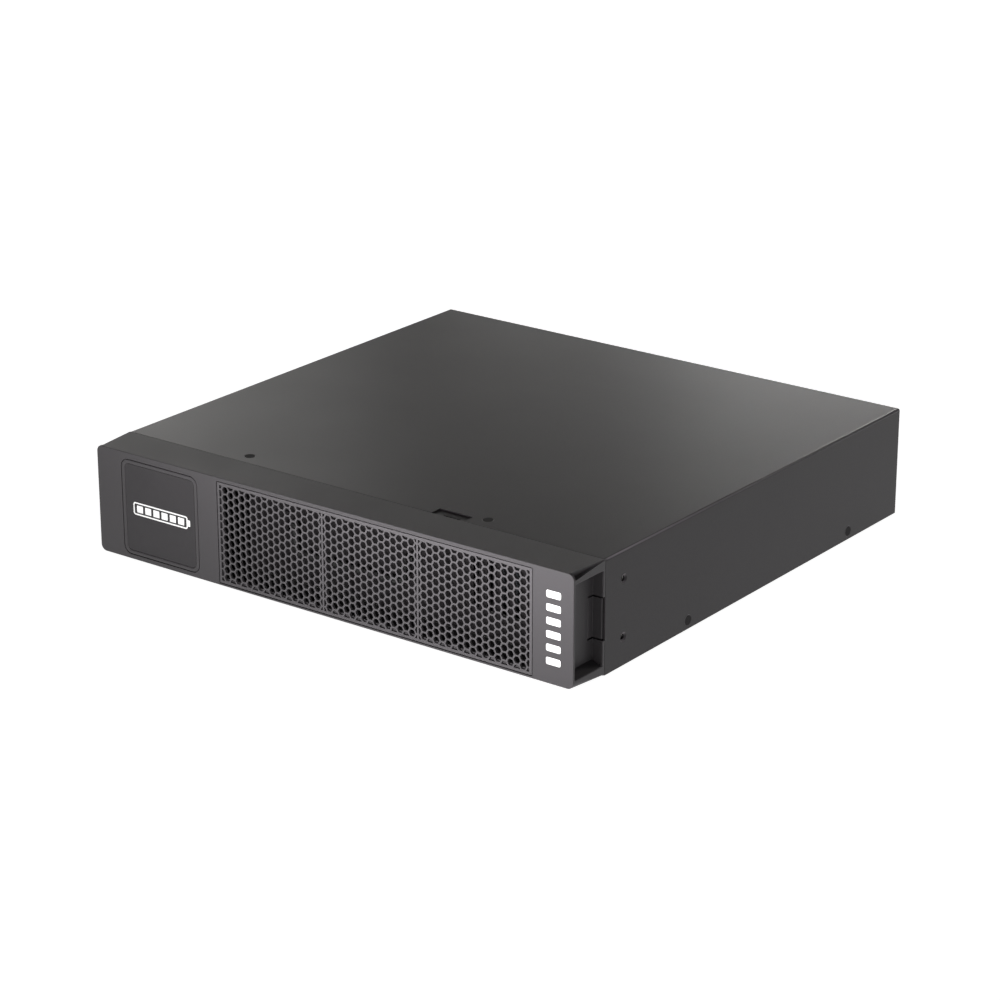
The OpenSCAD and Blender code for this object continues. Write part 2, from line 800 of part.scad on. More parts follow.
module terminal_boots() at_seam() color([0.85, 0.85, 0.8]) {
    for (n = [0 : 7]) in_block(n) for (y = tab_y) difference() {
        slab([block_h + 0.5, block_h + 0.5 + boot[0]], [y - boot[1] / 2, y + boot[1] / 2],
            [tab_lift - boot[2] / 2, tab_lift + boot[2] / 2]);
        slab([block_h, block_h + tab_size[0]], [y - tab_size[1] / 2, y + tab_size[1] / 2],
            [tab_lift - tab_size[2] / 2, tab_lift + tab_size[2] / 2]);
    }
}

// Links between the blocks of each string of four
module cell_links() at_seam() color([0.08, 0.08, 0.08]) {
    lane_x = block_outer_x - block_h - 6.8;
    y0 = block_rows_y[0] + tab_y[0];
    for (n = [0 : 3]) in_block(n)
        lead([[link_x, tab_y[1] + boot[1] / 2, tab_lift],
            [link_x, block_rows_y[1] - block_rows_y[0] + tab_y[0] - boot[1] / 2, tab_lift]],
            link_r);
    for (x = [-lane_x, lane_x])
        rod_z(x, y0, [block_z + tab_lift + boot[2] / 2,
            block_z + block_w - tab_lift - boot[2] / 2], link_r);
}

// Both strings meet in the channel behind the blocks and run to the plug
module tray_lead(outer, z, pin_x) {
    y0 = block_rows_y[1] + tab_y[1] + boot[1] / 2;
    near = block_outer_x - link_x;
    far = 0.2 + link_x;
    left = outer ? -far : -near;
    right = outer ? near : far;
    lead([[right, y0, z], [right, channel_y, z], [pin_x, channel_y, z],
        [pin_x, channel_y, dock_at[1]], [pin_x, dock_nose_y[0] - 2.7, dock_at[1]]], link_r);
    lead([[left, y0, z], [left, channel_y, z]], link_r);
}

module tray_lead_positive() at_seam() color([0.75, 0.1, 0.08]) {
    tray_lead(true, block_z + block_w - tab_lift, dock_at[0] - dock_pin_x);
}

module tray_lead_negative() at_seam() color([0.08, 0.08, 0.08]) {
    tray_lead(false, block_z + tab_lift, dock_at[0] + dock_pin_x);
}

module main_fuse() at_seam() color([0.9, 0.75, 0.2]) {
    z = block_z + block_w - tab_lift;
    difference() {
        rod_x([-136, -114], channel_y, z, 3);
        rod_x([-137, -113], channel_y, z, link_r);
    }
}

// ---- bezel ----

// Outside of the bezel: round corners at its face fade out at the steel
module bezel_body() {
    blend = 0.6;
    hull() {
        translate([0, 0, (face_z[0] + face_z[1]) / 2]) wall([bezel_y[0], bezel_y[0] + 0.1])
            soft_rect(2 * face_half_w, face_z[1] - face_z[0], face_r, $fn = 32);
        translate([0, 0, (bezel_foot_z + cabinet_h) / 2]) wall([bezel_y[1] - 0.1, bezel_y[1]])
            soft_rect(cabinet_w, cabinet_h - bezel_foot_z, blend, $fn = 32);
    }
}

// Opening of the finger pocket: its floor and roof slope in
module finger_pocket() {
    out = half_w + 1;
    wall(pocket_y) polygon([[out, pocket_z[0] - 0.4], [pocket_x, pocket_z[0] + pocket_draft],
        [pocket_x, pocket_z[1] - pocket_draft], [out, pocket_z[1] + 0.4]]);
}

module at_grille() {
    translate(grille_at) children();
}

// Notch that runs back from the face along each top corner and fades out
module corner_notches() {
    thin = 0.01;
    pair() hull() for (i = [0, 1])
        slab([half_w - corner_notch[i], half_w + 1],
            [corner_notch_y[i], corner_notch_y[i] + thin],
            [cabinet_h - corner_notch[i], cabinet_h + 1]);
}

// Face of the bezel, with the ledge and the two bars that carry the grille
module bezel_frame() at_seam() color(charcoal_plastic) {
    cut = [window_w, window_h] + [2, 2] * (border + insert_gap);
    ledge_x = grille_at[0] + cut[0] / 2 + 2;
    difference() {
        intersection() {
            bezel_body();
            slab([-room_x, room_x], face_y, [0, cabinet_h]);
        }
        wall([-bezel_d - 1, face_y[1] + 1]) at_grille() square(cut, center = true);
        badge_recess();
        mark_bars_solid();
    }
    difference() {
        slab([2 * grille_at[0] - ledge_x, ledge_x], ledge_y, room_z);
        wall([ledge_y[0] - 1, ledge_y[1] + 1]) at_grille()
            square([window_w, window_h] - [2, 2] * ledge_in, center = true);
    }
    wall(ledge_y) for (s = [-1, 1])
        translate([grille_at[0] + s * bar_cols * col_pitch, grille_at[1]])
            square([bar_w, window_h], center = true);
}

// Top and bottom walls behind the face, with the tongue in the top one
module bezel_walls() at_seam() color(charcoal_plastic) {
    x = [-room_x, room_x];
    y = [face_y[1], bezel_y[1]];
    intersection() {
        bezel_body();
        union() {
            slab(x, y, [0, room_z[0]]);
            slab(x, y, [room_z[1], cabinet_h]);
        }
    }
    slab(tongue_x, [-6, bezel_y[1]], [tongue_z[0], room_z[1] + 0.1]);
    slab(tongue_x, [-6, 6], tongue_z);
}

// Ends of the bezel, hollowed by the finger pockets, with a slot for each latch
module bezel_ends() at_seam() color(charcoal_plastic) {
    difference() {
        intersection() {
            bezel_body();
            pair() slab([room_x, half_w], bezel_y, [0, cabinet_h]);
        }
        corner_notches();
        pair() finger_pocket();
        pair() slab([room_x - 1, half_w + 1], [pocket_y[1] - 0.1, 1], tab_z);
        pair() slab([room_x - 1, pocket_x + 0.1], [tab_root_y, 1], tab_z);
    }
}

// Room in the face for the badge, its seat and its four clips
module badge_recess() {
    wall([-bezel_d - 1, badge_seat - bezel_d]) translate(badge_at)
        soft_rect(badge_side + 2 * badge_gap, badge_side + 2 * badge_gap, badge_r + badge_gap);
    wall([-bezel_d, face_y[1] + 1]) translate(badge_at) for (a = [0 : 90 : 270])
        rotate(a) translate([clip_at, 0]) square([3.4, 9], center = true);
}

module mark_bars_solid() {
    wall([-bezel_d - 0.01, inlay - bezel_d]) mark_outline();
}

module mark_outline() {
    for (i = [0 : mark_bars - 1])
        translate([mark_x, mid_z + (i - (mark_bars - 1) / 2) * mark_pitch])
            soft_rect(mark_bar[0], mark_bar[1], 1.2);
}

module bar_mark() at_seam() color("white") {
    wall([-bezel_d, inlay - bezel_d]) mark_outline();
}

// The honeycomb, with whole cells in the middle and half cells at each border
module cells() {
    for (c = [-side_cols - 1 : side_cols + 1]) {
        shift = abs(c) % 2 == 1 ? 0.5 : 0;
        for (r = [-6 : 6])
            if (abs(r + shift) <= 6)
                translate([c * col_pitch, (r + shift) * row_pitch]) circle(r = cell_r, $fn = 6);
    }
}

module panels() {
    bar_x = bar_cols * col_pitch;
    difference() {
        square([window_w, window_h], center = true);
        for (s = [-1, 1]) translate([s * bar_x, 0]) square([bar_w, window_h + 1], center = true);
    }
}

module grille_insert() at_seam() color(charcoal_plastic) {
    wall(insert_y) at_grille() difference() {
        square([window_w + 2 * border, window_h + 2 * border], center = true);
        intersection() {
            cells();
            panels();
        }
    }
}

// ---- badge ----

module badge_frame() at_seam() color(charcoal_plastic) {
    label_r = badge_r - badge_rim + 0.5;
    difference() {
        wall([-bezel_d, badge_t - bezel_d]) translate(badge_at)
            soft_rect(badge_side, badge_side, badge_r);
        wall([-bezel_d - 1, label_y[1]]) translate(badge_at)
            soft_rect(label_side, label_side, label_r);
    }
    wall([badge_t - bezel_d - 0.1, 7.5 - bezel_d]) translate(badge_at) for (a = [0 : 90 : 270])
        rotate(a) translate([clip_at, 0]) square([1.8, 7], center = true);
}

// Outline of the battery symbol on the label: a case, its terminal and charge
module battery_symbol() {
    case = [54, 10];
    line = 1.1;
    bars = 6;
    difference() {
        soft_rect(case[0], case[1], 2);
        soft_rect(case[0] - 2 * line, case[1] - 2 * line, 1);
    }
    translate([case[0] / 2 + 1.2, 0]) square([2.4, 5], center = true);
    for (i = [0 : bars - 1])
        translate([(i - (bars - 1) / 2) * 8.2, 0]) square([6, 5.4], center = true);
}

// The label, with room for the symbol in its face
module badge_plate() at_seam() color(dark_plastic) {
    difference() {
        wall(label_y) translate(badge_at)
            soft_rect(label_side - 0.3, label_side - 0.3, badge_r - badge_rim + 0.3);
        wall([label_y[0] - 1, label_y[0] + inlay]) translate(badge_at) battery_symbol();
    }
}

module badge_symbol() at_seam() color("white") {
    wall([label_y[0], label_y[0] + inlay]) translate(badge_at) battery_symbol();
}

// ---- latches ----

// The sprung tab in the corner of a finger pocket, its round root and its hook
module latch() {
    tab = [tab_z[0] + tab_gap, tab_z[1] - tab_gap];
    back_y = [pocket_y[1], -0.9];
    stem_x = [room_x + 2.6, room_x + 4.4];
    root_y = tab_root_y + tab_bead_r + 0.2;
    rod_z(room_x + tab_bead_r, root_y, tab, tab_bead_r);
    slab([room_x, pocket_x], [root_y, back_y[1]], tab);
    slab([room_x, half_w - 1.4], back_y, tab);
    slab(stem_x, [back_y[1] - 0.1, 4.2], hook_z);
    translate([0, 0, hook_z[0]]) linear_extrude(hook_z[1] - hook_z[0])
        polygon([[stem_x[1], 2.2], [stem_x[1] + 1.4, 2.2], [stem_x[1], 4.2]]);
}

module latch_left() at_seam() color(charcoal_plastic) mirror([1, 0, 0]) latch();

module latch_right() at_seam() color(charcoal_plastic) latch();

base_pan();
top_cover();
front_frame();
rear_panel();
guide_rails();
glide_strips();
cover_screws();
rear_screws();
ear_nuts();
dc_socket_left();
dc_socket_right();
socket_contacts();
breaker_body();
breaker_pin();
breaker_toggle();
signal_jack();
sense_board();
board_parts();
board_standoffs();
ground_stud();
ground_nut();
dock_receptacle();
dock_pins();
dock_bracket();
cabinet_lead_positive();
cabinet_lead_negative();
sense_lead();
tray_pan();
tray_front();
tray_screws();
handle_brackets();
tray_handle();
foam_pads();
hold_down_bars();
battery(0);  // battery_1
battery(1);  // battery_2
battery(2);  // battery_3
battery(3);  // battery_4
battery(4);  // battery_5
battery(5);  // battery_6
battery(6);  // battery_7
battery(7);  // battery_8
battery_elements();
battery_terminals();
terminal_boots();
cell_links();
tray_lead_positive();
tray_lead_negative();
main_fuse();
dock_plug();
bezel_frame();
bezel_walls();
bezel_ends();
grille_insert();
bar_mark();
badge_frame();
badge_plate();
badge_symbol();
latch_left();
latch_right();
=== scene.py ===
"""Looks of the external battery cabinet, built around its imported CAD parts.

Meshes made here are drawn in millimetres from the seam, the plane where the
bezel meets the steel, with X to the right, Y to the back and Z up. place()
brings them into the frame, in metres.
"""
import json
import math
import bmesh
import bpy
from mathutils import Matrix, Vector


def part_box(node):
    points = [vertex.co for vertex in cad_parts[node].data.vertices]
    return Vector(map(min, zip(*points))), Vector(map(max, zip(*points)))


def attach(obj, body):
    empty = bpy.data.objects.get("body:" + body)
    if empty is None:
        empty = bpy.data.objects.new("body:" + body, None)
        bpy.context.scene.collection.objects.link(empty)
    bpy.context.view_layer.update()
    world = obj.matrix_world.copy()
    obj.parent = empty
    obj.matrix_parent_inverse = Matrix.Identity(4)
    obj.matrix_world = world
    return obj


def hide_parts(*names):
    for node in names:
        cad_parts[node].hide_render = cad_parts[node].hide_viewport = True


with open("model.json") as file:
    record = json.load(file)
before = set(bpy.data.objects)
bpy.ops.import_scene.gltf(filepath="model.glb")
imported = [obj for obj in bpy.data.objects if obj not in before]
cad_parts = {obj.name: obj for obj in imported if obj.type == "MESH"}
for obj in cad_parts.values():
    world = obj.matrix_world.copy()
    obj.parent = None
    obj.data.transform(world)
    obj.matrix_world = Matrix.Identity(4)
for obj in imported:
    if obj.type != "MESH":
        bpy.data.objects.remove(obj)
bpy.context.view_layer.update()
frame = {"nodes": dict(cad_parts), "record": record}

MM = 0.001
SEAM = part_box("top_cover")[0].y
# Studio, in metres and degrees
LID = (0, 0, 0.08)
BEAM_PLACE = (0.12, -1.7, 0.12)
BEAM_ANGLE = 34
FLOOR_REACH = 30
FLOOR_DROP = 0.0001
LAMP_WHITE = (1, 0.985, 0.965)


def corners(node):
    """Lowest and highest corner of a CAD node, in millimetres from the seam."""
    lo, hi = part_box(node)
    shift = Vector((0, SEAM, 0))
    return (lo - shift) / MM, (hi - shift) / MM


# ---- camera, lights and floor ----

def look_at(obj, place, target):
    obj.location = place
    obj.rotation_euler = (Vector(target) - Vector(place)).to_track_quat("-Z", "Y").to_euler()


def make_camera():
    azimuth, elevation, distance = math.radians(36.84), math.radians(20.48), 2.418
    target = Vector((-0.0202, 0.01875, 0.0154))
    away = Vector((math.sin(azimuth) * math.cos(elevation),
                   -math.cos(azimuth) * math.cos(elevation), math.sin(elevation)))
    data = bpy.data.cameras.new("camera")
    data.lens = 112.46
    data.sensor_width = 36
    camera = bpy.data.objects.new("camera", data)
    bpy.context.scene.collection.objects.link(camera)
    look_at(camera, target + distance * away, target)
    bpy.context.scene.camera = camera


def aim_light(data, place, target, power):
    data.energy = power
    light = bpy.data.objects.new(data.name, data)
    bpy.context.scene.collection.objects.link(light)
    look_at(light, place, target)
    return light


def softbox(name, place, target, size, power):
    data = bpy.data.lights.new(name, "AREA")
    data.shape = "RECTANGLE"
    data.size, data.size_y = size
    data.color = LAMP_WHITE
    aim_light(data, place, target, power)


def beam(name, target, power):
    """A spotlight that fades to its rim and casts no glossy reflection."""
    data = bpy.data.lights.new(name, "SPOT")
    data.spot_size = math.radians(BEAM_ANGLE)
    data.spot_blend = 1
    data.shadow_soft_size = 0.15
    light = aim_light(data, BEAM_PLACE, target, power)
    light.visible_glossy = False


def make_world():
    bpy.context.scene.view_settings.view_transform = "Standard"
    world = bpy.data.worlds.new("studio")
    world.use_nodes = True
    background = world.node_tree.nodes["Background"]
    background.inputs["Color"].default_value = (1, 1, 1, 1)
    background.inputs["Strength"].default_value = 0.032
    bpy.context.scene.world = world


def make_lights():
    """Two lamps and two beams light the face. The rest are reflected in the lid."""
    softbox("front_fill", (0.1, -1.6, 0.35), (0.1, -0.22, 0.05), (0.4, 0.4), 8.5)
    softbox("front_right", (0.95, -1.75, 0.35), (0.2, -0.22, 0.04), (0.3, 0.3), 2.8)
    beam("front_key", (0.18, -0.22, 0.36), 437)
    beam("front_middle", (0.02, -0.22, 0.36), 64)
    softbox("high_left", (-2.1, 1.5, 1.0), LID, (1.2, 0.9), 5.3)
    softbox("low_left", (-2.2, 1.6, 0.5), LID, (0.6, 0.6), 2.1)
    softbox("low_back", (-1.3, 2.3, 0.45), LID, (0.9, 0.35), 3.0)
    softbox("back_edge", (-1.0, 2.4, 0.3), LID, (0.7, 0.3), 7.4)
    softbox("fold_edge", (0.95, 1.8, 1.3), LID, (0.5, 0.5), 9)


def make_floor():
    mesh = bpy.data.meshes.new("floor")
    reach = FLOOR_REACH
    mesh.from_pydata([(-reach, -reach, 0), (reach, -reach, 0), (reach, reach, 0),
                      (-reach, reach, 0)], [], [(0, 1, 2, 3)])
    floor = bpy.data.objects.new("floor", mesh)
    floor.location.z = -FLOOR_DROP
    bpy.context.scene.collection.objects.link(floor)
    material = bpy.data.materials.new("pale_floor")
    material.use_nodes = True
    shader = material.node_tree.nodes["Principled BSDF"]
    shader.inputs["Base Color"].default_value = (0.4, 0.4, 0.4, 1)
    shader.inputs["Roughness"].default_value = 0.9
    shader.inputs["Emission Color"].default_value = (1, 1, 1, 1)
    shader.inputs["Emission Strength"].default_value = 0.94
    mesh.materials.append(material)


make_camera()
make_world()
make_lights()
make_floor()


# ---- materials ----

# How far from a sharp edge its lightening reaches, in metres; the lightening is partly edge wear and
# partly a painted highlight
WEAR_AND_HIGHLIGHT_REACH = 0.0005


class Shading:
    """A Principled material whose detail is laid out in metres on the object."""

    def __init__(self, name):
        self.material = bpy.data.materials.new(name)
        self.material.use_nodes = True
        self.nodes = self.material.node_tree.nodes
        self.links = self.material.node_tree.links
        self.shader = self.nodes["Principled BSDF"]
        self.on_object = self.nodes.new("ShaderNodeTexCoord").outputs["Object"]

    def set(self, **values):
        for key, value in values.items():
            self.shader.inputs[key.replace("_", " ")].default_value = value
        return self

    def stretched(self, scale):
        node = self.nodes.new("ShaderNodeMapping")
        node.inputs["Scale"].default_value = scale
        self.links.new(self.on_object, node.inputs["Vector"])
        return node.outputs["Vector"]

    def noise(self, size, detail=3, where=None):
        """Cloudy noise whose features are about size metres across."""
        node = self.nodes.new("ShaderNodeTexNoise")
        node.inputs["Scale"].default_value = 1 / size
        node.inputs["Detail"].default_value = detail
        self.links.new(where or self.on_object, node.inputs["Vector"])
        return node.outputs["Fac"]

    def cells(self, size):
        """Distance to the nearest of many points about size metres apart."""
        node = self.nodes.new("ShaderNodeTexVoronoi")
        node.inputs["Scale"].default_value = 1 / size
        self.links.new(self.on_object, node.inputs["Vector"])
        return node.outputs["Distance"]

    def ramp(self, value, low, high, colours):
        """Blends from one colour to another as a value goes from low to high."""
        node = self.nodes.new("ShaderNodeValToRGB")
        node.color_ramp.elements[0].position = low
        node.color_ramp.elements[1].position = high
        for element, colour in zip(node.color_ramp.elements, colours):
            element.color = colour if len(colour) == 4 else (*colour, 1)
        self.links.new(value, node.inputs["Fac"])
        return node.outputs["Color"]

    def spread(self, value, low, high):
        """Spreads the usual values of a noise, 0.3 to 0.7, from low to high."""
        node = self.nodes.new("ShaderNodeMapRange")
        node.inputs["From Min"].default_value = 0.3
        node.inputs["From Max"].default_value = 0.7
        node.inputs["To Min"].default_value = low
        node.inputs["To Max"].default_value = high
        self.links.new(value, node.inputs["Value"])
        return node.outputs["Result"]

    def mix(self, factor, a, b):
        node = self.nodes.new("ShaderNodeMix")
        node.data_type = "RGBA"
        for socket, value in ((node.inputs[0], factor), (node.inputs[6], a), (node.inputs[7], b)):
            if isinstance(value, bpy.types.NodeSocket):
                self.links.new(value, socket)
            else:
                socket.default_value = value if isinstance(value, float) else (*value, 1)
        return node.outputs[2]

    def calculate(self, operation, a, b, clamp=False):
        node = self.nodes.new("ShaderNodeMath")
        node.operation = operation
        node.use_clamp = clamp
        for socket, value in zip(node.inputs, (a, b)):
            if isinstance(value, bpy.types.NodeSocket):
                self.links.new(value, socket)
            else:
                socket.default_value = value
        return node.outputs[0]

    def edges(self):
        """Near 1 close to a sharp edge and 0 on flat faces."""
        bevel = self.nodes.new("ShaderNodeBevel")
        bevel.samples = 4
        bevel.inputs["Radius"].default_value = WEAR_AND_HIGHLIGHT_REACH
        geometry = self.nodes.new("ShaderNodeNewGeometry")
        dot = self.nodes.new("ShaderNodeVectorMath")
        dot.operation = "DOT_PRODUCT"
        self.links.new(bevel.outputs["Normal"], dot.inputs[0])
        self.links.new(geometry.outputs["Normal"], dot.inputs[1])
        turned = self.calculate("SUBTRACT", 1, dot.outputs["Value"])
        return self.calculate("MULTIPLY", turned, 4, clamp=True)

    def bends(self):
        """Near 1 in the middle of a fold between a side and a level face."""
        geometry = self.nodes.new("ShaderNodeNewGeometry")
        axes = self.nodes.new("ShaderNodeSeparateXYZ")
        self.links.new(geometry.outputs["Normal"], axes.inputs[0])
        product = self.calculate("MULTIPLY", axes.outputs["X"], axes.outputs["Z"])
        square = self.calculate("MULTIPLY", product, product)
        return self.calculate("MULTIPLY", square, 4, clamp=True)

    def colour(self, value):
        self.links.new(value, self.shader.inputs["Base Color"])
        return self

    def roughness(self, value):
        self.links.new(value, self.shader.inputs["Roughness"])
        return self

    def bump(self, height, depth, strength=1.0):
        """Relief of about depth metres."""
        node = self.nodes.new("ShaderNodeBump")
        node.inputs["Distance"].default_value = depth
        node.inputs["Strength"].default_value = strength
        self.links.new(height, node.inputs["Height"])
        last = self.shader.inputs["Normal"]
        if last.is_linked:
            self.links.new(last.links[0].from_socket, node.inputs["Normal"])
        self.links.new(node.outputs["Normal"], last)
        return self


def shade(colour, factor):
    """A lighter or darker version of a colour."""
    return tuple(min(1.0, c * factor) for c in colour)


def powder_coat(name, colour, roughness=0.5, shine=0.3, fold_highlight=1.0):
    """Fine-textured powder coat, a little lighter at sharp edges, partly from wear and partly as a
    painted highlight, with an optional painted highlight along folds.
    """
    s = Shading(name)
    tone = s.ramp(s.noise(0.12, 2), 0.3, 0.7, (shade(colour, 0.97), shade(colour, 1.03)))
    grain = s.ramp(s.noise(0.0009, 2), 0.35, 0.65, (shade(colour, 0.85), shade(colour, 1.15)))
    # Sharp edges are lighter: partly edge wear, partly a painted highlight.
    edges_wear_and_sheen = s.mix(s.edges(), s.mix(0.5, tone, grain), shade(colour, 1.6))
    # Folds between a side and the top are lightened as a painted highlight.
    s.colour(edges_wear_and_sheen if fold_highlight == 1 else s.mix(s.bends(), edges_wear_and_sheen, shade(colour, fold_highlight)))
    s.roughness(s.spread(s.noise(0.09, 2), roughness - 0.012, roughness + 0.012))
    s.set(Specular_IOR_Level=shine)
    s.bump(s.noise(0.0011, 3), 0.00005, 0.35)
    s.bump(s.cells(0.00045), 0.00002, 0.3)
    return s.material


def moulded_plastic(name, colour, roughness=0.5, grain=0.00045, shine=0.3, edge_highlight=1.0):
    """Spark-eroded mould texture with faint tone changes and edges lightened as a painted highlight.
    """
    s = Shading(name)
    tone = s.ramp(s.noise(0.08, 2), 0.3, 0.7, (shade(colour, 0.98), shade(colour, 1.02)))
    speck = s.ramp(s.noise(grain, 2), 0.35, 0.65, (shade(colour, 0.9), shade(colour, 1.1)))
    surface = s.mix(0.5, tone, speck)
    # Sharp edges are lightened as a painted highlight.
    s.colour(surface if edge_highlight == 1 else s.mix(s.edges(), surface, shade(colour, edge_highlight)))
    s.roughness(s.spread(s.noise(0.06, 2), roughness - 0.02, roughness + 0.02))
    s.set(Specular_IOR_Level=shine)
    s.bump(s.cells(grain), 0.00002, 0.5)
    s.bump(s.noise(0.006, 2), 0.00003, 0.15)
    return s.material


def zinc_plate(name, colour, roughness=0.34):
    """Bright zinc on rolled steel: faint rolling lines and clouds."""
    s = Shading(name)
    lines = s.noise(0.0012, 4, s.stretched((1, 0.04, 1)))
    clouds = s.noise(0.018, 3)
    tone = s.ramp(clouds, 0.3, 0.7, (shade(colour, 0.86), shade(colour, 1.06)))
    brushed = s.ramp(lines, 0.3, 0.7, (shade(colour, 0.95), shade(colour, 1.03)))
    s.colour(s.mix(0.5, tone, brushed))
    s.roughness(s.spread(lines, roughness - 0.04, roughness + 0.05))
    s.set(Metallic=1.0)
    s.bump(lines, 0.00001, 0.12)
    return s.material


def plain_metal(name, colour, roughness=0.3):
    """Machined metal with fine marks and a slight tarnish."""
    s = Shading(name)
    tarnish = s.ramp(s.noise(0.004, 3), 0.35, 0.7, (shade(colour, 0.75), colour))
    s.colour(tarnish)
    s.roughness(s.spread(s.noise(0.0015, 3), roughness - 0.06, roughness + 0.12))
    s.set(Metallic=1.0)
    s.bump(s.noise(0.0006, 2), 0.00001, 0.3)
    return s.material


def ink(name, colour):
    """Screen-printed ink, slightly uneven."""
    s = Shading(name)
    s.colour(s.ramp(s.noise(0.002, 3), 0.3, 0.7, (shade(colour, 0.95), colour)))
    s.roughness(s.spread(s.noise(0.001, 2), 0.4, 0.55))
    s.bump(s.noise(0.0004, 2), 0.00001, 0.3)
    return s.material


def insulation(name, colour):
    """PVC insulation with faint drawing lines."""
    s = Shading(name)
    s.colour(s.ramp(s.noise(0.01, 3), 0.3, 0.7, (shade(colour, 0.9), shade(colour, 1.08))))
    s.roughness(s.spread(s.noise(0.003, 3), 0.38, 0.5))
    s.bump(s.noise(0.0015, 2), 0.00003, 0.3)
    return s.material


def foam(name, colour):
    """Open-celled foam with pores about a millimetre across."""
    s = Shading(name)
    pores = s.cells(0.0011)
    # Darker in the middle of each pore: painted shade in the pores.
    s.colour(s.ramp(pores, 0.1, 0.6, (shade(colour, 0.6), shade(colour, 1.2))))
    s.set(Roughness=0.95)
    s.bump(pores, 0.0003, 0.8)
    return s.material


def label_film(name, colour):
    """Satin polycarbonate film with a fine velvet surface."""
    s = Shading(name)
    s.colour(s.ramp(s.noise(0.03, 2), 0.3, 0.7, (shade(colour, 0.96), shade(colour, 1.04))))
    s.roughness(s.spread(s.noise(0.004, 3), 0.42, 0.5))
    s.set(Specular_IOR_Level=0.25)
    s.bump(s.noise(0.0003, 2), 0.00001, 0.3)
    return s.material


def circuit_board(name, colour):
    """Solder mask over copper traces."""
    s = Shading(name)
    traces = s.noise(0.0035, 1, s.stretched((1, 0.2, 1)))
    s.colour(s.ramp(traces, 0.48, 0.52, (colour, shade(colour, 1.7))))
    s.roughness(s.spread(s.noise(0.002, 2), 0.3, 0.42))
    s.bump(traces, 0.00003, 0.4)
    return s.material


MATERIALS = {
    # Its edges are lighter from wear and a painted highlight, and its folds carry a painted
    # highlight.
    "cover_paint": powder_coat("cover_paint", (0.0285, 0.0258, 0.028), 0.34, 0.16, fold_highlight=5.0),
    # The bezel's edges are lightened as a painted highlight.
    "bezel_plastic": moulded_plastic("bezel_plastic", (0.047, 0.044, 0.047), 0.46,
                                     shine=0.25, edge_highlight=1.9),
    "grille_plastic": moulded_plastic("grille_plastic", (0.062, 0.058, 0.062), 0.46, shine=0.25),
    "badge_label": label_film("badge_label", (0.029, 0.0267, 0.029)),
    "print_white": ink("print_white", (0.88, 0.88, 0.88)),
    "zinc_steel": zinc_plate("zinc_steel", (0.62, 0.62, 0.6)),
    "black_steel": powder_coat("black_steel", (0.0125, 0.0112, 0.0122), 0.6, 0.08),
    "black_screw": powder_coat("black_screw", (0.021, 0.0195, 0.0205), 0.6, 0.08),
    "brass_terminal": plain_metal("brass_terminal", (0.72, 0.5, 0.18)),
    "tinned_contact": plain_metal("tinned_contact", (0.7, 0.69, 0.66)),
    "connector_black": moulded_plastic("connector_black", (0.014, 0.014, 0.015), 0.42),
    "toggle_white": moulded_plastic("toggle_white", (0.7, 0.7, 0.67), 0.4),
    "nylon": moulded_plastic("nylon", (0.72, 0.71, 0.62), 0.45),
    "battery_case": moulded_plastic("battery_case", (0.035, 0.037, 0.042), 0.46, 0.0008),
    "plate_lead": plain_metal("plate_lead", (0.1, 0.105, 0.115), 0.6),
    "board_green": circuit_board("board_green", (0.01, 0.06, 0.025)),
    "part_blue": moulded_plastic("part_blue", (0.02, 0.06, 0.22), 0.4),
    "lead_red": insulation("lead_red", (0.42, 0.012, 0.01)),
    "lead_black": insulation("lead_black", (0.012, 0.012, 0.012)),
    "lead_white": insulation("lead_white", (0.65, 0.65, 0.6)),
    "foam": foam("foam", (0.02, 0.02, 0.02)),
    "handle_black": powder_coat("handle_black", (0.02, 0.02, 0.02), 0.4),
    "fuse_yellow": moulded_plastic("fuse_yellow", (0.7, 0.42, 0.04), 0.38),
}


# ---- mesh tools ----

CORNER_STEPS = 8
LIP_STEPS = 4
# Points closer than this are one, in metres
WELD_DISTANCE = 0.000002


def soft_ring(w, h, r, steps=CORNER_STEPS):
    """A rectangle with round corners about its middle, anticlockwise."""
    points = []
    for corner, (su, sv) in enumerate(((1, 1), (-1, 1), (-1, -1), (1, -1))):
        for i in range(steps + 1):
            angle = math.pi / 2 * (corner + i / steps)
            points.append((su * (w / 2 - r) + r * math.cos(angle),
                           sv * (h / 2 - r) + r * math.sin(angle)))
    return points


def quarter(steps=LIP_STEPS):
    """(sine, cosine) pairs from 0 to 90 degrees."""
    angles = [math.pi / 2 * i / steps for i in range(steps + 1)]
    return [(math.sin(a), math.cos(a)) for a in angles]


def facing(y, ring, at=(0, 0)):
    """Puts a drawing in X and Z at a depth y."""
    return [(at[0] + u, y, at[1] + v) for u, v in ring]


def make_piece(name, bm):
    bmesh.ops.recalc_face_normals(bm, faces=bm.faces)
    mesh = bpy.data.meshes.new(name)
    bm.to_mesh(mesh)
    bm.free()
    piece = bpy.data.objects.new(name, mesh)
    bpy.context.scene.collection.objects.link(piece)
    return piece


def add_loft(bm, rings, closed=False):
    """Faces through rings of points. The ends are capped unless it is closed."""
    loops = [[bm.verts.new(p) for p in ring] for ring in rings]
    pairs = list(zip(loops, loops[1:]))
    if closed:
        pairs.append((loops[-1], loops[0]))
    for a, b in pairs:
        for i in range(len(a)):
            j = (i + 1) % len(a)
            bm.faces.new((a[i], a[j], b[j], b[i]))
    if not closed:
        bm.faces.new(loops[0])
        bm.faces.new(loops[-1])


def loft(name, rings, closed=False):
    bm = bmesh.new()
    add_loft(bm, rings, closed)
    return make_piece(name, bm)


def slab(name, x, y, z):
    """A box given by its two ends along each axis."""
    ring = ((x[0], z[0]), (x[1], z[0]), (x[1], z[1]), (x[0], z[1]))
    return loft(name, [facing(y[0], ring), facing(y[1], ring)])


